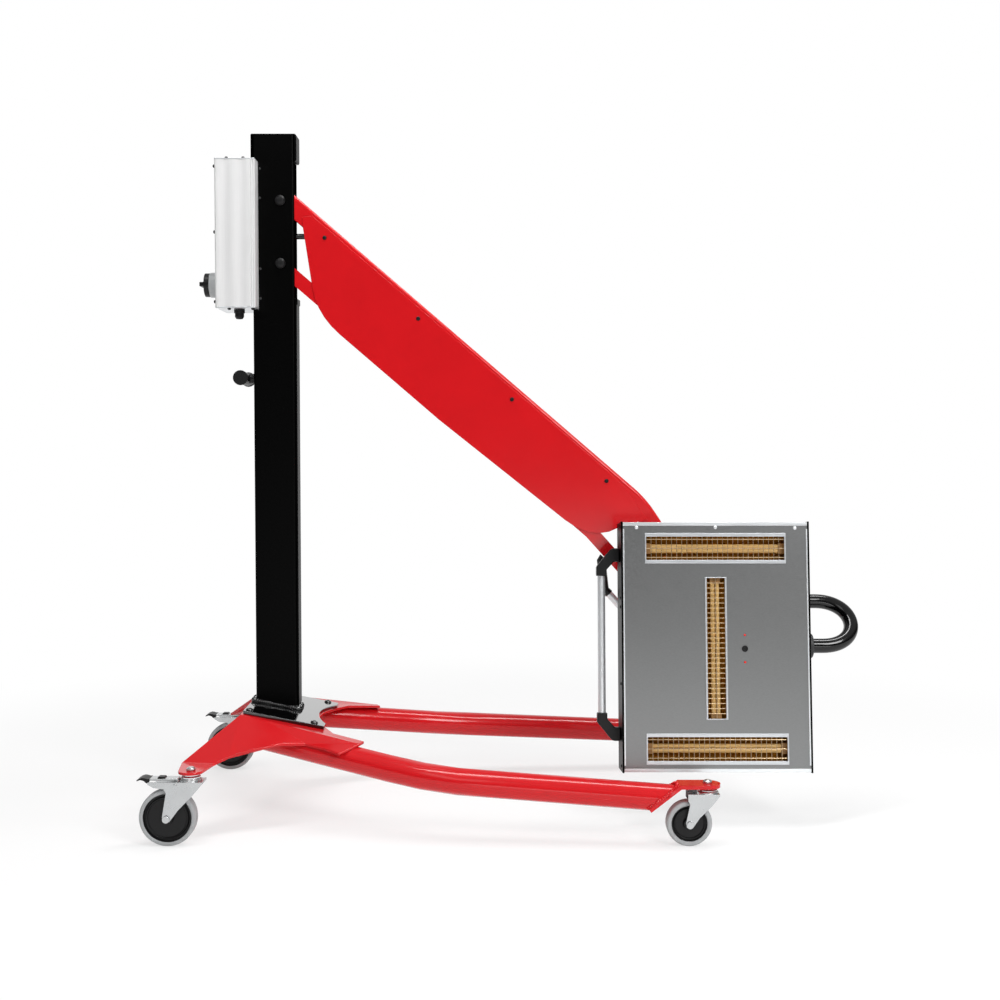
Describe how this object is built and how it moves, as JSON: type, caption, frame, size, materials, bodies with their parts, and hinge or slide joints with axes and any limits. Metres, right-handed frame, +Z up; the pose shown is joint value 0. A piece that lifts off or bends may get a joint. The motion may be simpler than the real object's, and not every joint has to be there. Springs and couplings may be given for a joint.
{
  "type": "infrared paint curing lamp",
  "caption": "Infrared paint curing lamp: black pillar on a wheeled red base, red parallel arm with gas spring, and a flat cassette with infrared lamps.",
  "frame": {"origin": "on the floor, under the middle of the lamp's bounding box", "axes": "+X from the pillar towards the lamp head, +Y away from the side that the cassette faces, +Z up"},
  "size_m": [1.6456, 0.7572, 1.617],
  "materials": {
    "red_paint": "gloss",
    "black_paint": "satin",
    "black_gloss": "gloss",
    "black_plastic": "matte",
    "grey_plastic": "matte",
    "zinc_steel": "zinc plated",
    "box_aluminium": "anodised",
    "sheet_aluminium": "brushed",
    "gold_reflector": "polished gold",
    "quartz": "clear",
    "tyre": "matte",
    "circuit_board": "matte",
    "cable_sheath": "gloss"
  },
  "bodies": {
    "stand": {"base_sheet": "red_paint", "foot_plate": "black_gloss", "pillar": "black_paint", "pillar_cap": "black_paint", "pillar_front_cover": "black_paint", "leg_near": "red_paint", "leg_far": "red_paint", "control_box": "box_aluminium", "control_box_top": "box_aluminium", "control_box_bottom": "box_aluminium", "switch_base": "grey_plastic", "cable_gland": "black_plastic", "control_board": "circuit_board", "push_handle": "black_plastic", "pivot_bolt_upper": "black_plastic", "pivot_bolt_lower": "black_plastic", "lamp_cable_pillar": "cable_sheath"},
    "main_switch": {"main_switch_knob": "black_plastic"},
    "upper_arm": {"upper_arm": "red_paint", "arm_panel_near": "red_paint", "arm_panel_far": "red_paint", "gas_spring_tube": "black_paint", "lamp_cable_arm": "cable_sheath"},
    "lower_arm": {"lower_arm": "red_paint", "arm_handle": "box_aluminium"},
    "spring_rod": {"gas_spring_rod": "zinc_steel"},
    "head_link": {"head_link": "black_paint"},
    "head_swivel": {"swivel_spindle": "zinc_steel"},
    "head_tilt": {"tilt_bracket": "black_paint"},
    "cassette": {"cassette_casing": "sheet_aluminium", "cassette_side_left": "black_paint", "cassette_side_right": "black_paint", "cassette_front": "sheet_aluminium", "grille_top": "zinc_steel", "grille_middle": "zinc_steel", "grille_bottom": "zinc_steel", "reflector_tray": "gold_reflector", "lamp_top": "quartz", "lamp_middle": "quartz", "lamp_bottom": "quartz", "distance_sensor": "black_plastic", "handle_tube": "box_aluminium", "handle_elbow_top": "black_plastic", "handle_elbow_bottom": "black_plastic", "hose_gland": "black_plastic", "cable_hose": "cable_sheath"},
    "caster_rear_near": {"fork_rear_near": "zinc_steel", "axle_rear_near": "zinc_steel"},
    "wheel_rear_near": {"wheel_rear_near": "tyre"},
    "brake_near": {"brake_pedal_near": "black_plastic"},
    "caster_rear_far": {"fork_rear_far": "zinc_steel", "axle_rear_far": "zinc_steel"},
    "wheel_rear_far": {"wheel_rear_far": "tyre"},
    "brake_far": {"brake_pedal_far": "black_plastic"},
    "caster_front_near": {"fork_front_near": "zinc_steel", "axle_front_near": "zinc_steel"},
    "wheel_front_near": {"wheel_front_near": "tyre"},
    "caster_front_far": {"fork_front_far": "zinc_steel", "axle_front_far": "zinc_steel"},
    "wheel_front_far": {"wheel_front_far": "tyre"}
  },
  "joints": [
    {"name": "main_switch", "type": "hinge", "parent": "stand", "child": "main_switch", "pos_m": [-0.73129, 0, 1.2605], "axis": [-1, 0, 0], "range_deg": [0, 90]},
    {"name": "arm_lift", "type": "hinge", "parent": "stand", "child": "upper_arm", "pos_m": [-0.55279, 0, 1.4592], "axis": [0, -1, 0], "range_deg": [0, 60]},
    {"name": "lower_arm", "type": "hinge", "parent": "stand", "child": "lower_arm", "pos_m": [-0.55279, 0, 1.31], "axis": [0, -1, 0], "range_deg": [0, 60]},
    {"name": "spring_stroke", "type": "slide", "parent": "upper_arm", "child": "spring_rod", "axis": [-0.894, 0, 0.448], "range_m": [0, 0.1495]},
    {"name": "head_level", "type": "hinge", "parent": "upper_arm", "child": "head_link", "pos_m": [0.41221, 0, 0.58525], "axis": [0, -1, 0], "range_deg": [-60, 0]},
    {"name": "head_swivel", "type": "hinge", "parent": "head_link", "child": "head_swivel", "pos_m": [0.47221, 0, 0.44], "axis": [0, 0, 1], "range_deg": [0, 170]},
    {"name": "head_tilt", "type": "hinge", "parent": "head_swivel", "child": "head_tilt", "pos_m": [0.47221, 0, 0.395], "axis": [1, 0, 0], "range_deg": [0, 80]},
    {"name": "cassette_turn", "type": "hinge", "parent": "head_tilt", "child": "cassette", "pos_m": [0.47221, -0.176, 0.4115], "axis": [0, -0.9922, 0.1246], "range_deg": [-90, 45]},
    {"name": "swivel_rear_near", "type": "hinge", "parent": "stand", "child": "caster_rear_near", "pos_m": [-0.70479, -0.35, 0.155], "axis": [0, 0, 1], "continuous": true},
    {"name": "roll_rear_near", "type": "hinge", "parent": "caster_rear_near", "child": "wheel_rear_near", "pos_m": [-0.75479, -0.35, 0.0625], "axis": [0, 1, 0], "continuous": true},
    {"name": "brake_near", "type": "hinge", "parent": "caster_rear_near", "child": "brake_near", "pos_m": [-0.73479, -0.35, 0.143], "axis": [0, -1, 0], "range_deg": [0, 12]},
    {"name": "swivel_rear_far", "type": "hinge", "parent": "stand", "child": "caster_rear_far", "pos_m": [-0.70479, 0.35, 0.155], "axis": [0, 0, 1], "continuous": true},
    {"name": "roll_rear_far", "type": "hinge", "parent": "caster_rear_far", "child": "wheel_rear_far", "pos_m": [-0.75479, 0.35, 0.0625], "axis": [0, 1, 0], "continuous": true},
    {"name": "brake_far", "type": "hinge", "parent": "caster_rear_far", "child": "brake_far", "pos_m": [-0.73479, 0.35, 0.143], "axis": [0, -1, 0], "range_deg": [0, 12]},
    {"name": "swivel_front_near", "type": "hinge", "parent": "stand", "child": "caster_front_near", "pos_m": [0.42721, -0.35, 0.14], "axis": [0, 0, 1], "continuous": true},
    {"name": "roll_front_near", "type": "hinge", "parent": "caster_front_near", "child": "wheel_front_near", "pos_m": [0.38621, -0.35, 0.05], "axis": [0, 1, 0], "continuous": true},
    {"name": "swivel_front_far", "type": "hinge", "parent": "stand", "child": "caster_front_far", "pos_m": [0.42721, 0.35, 0.14], "axis": [0, 0, 1], "continuous": true},
    {"name": "roll_front_far", "type": "hinge", "parent": "caster_front_far", "child": "wheel_front_far", "pos_m": [0.38621, 0.35, 0.05], "axis": [0, 1, 0], "continuous": true}
  ],
  "couplings": [
    {"joint": "lower_arm", "follows": "arm_lift", "ratio": 1},
    {"joint": "head_level", "follows": "arm_lift", "ratio": -1},
    {"joint": "spring_stroke", "follows": "arm_lift", "m_per_rad": 0.1423}
  ]
}
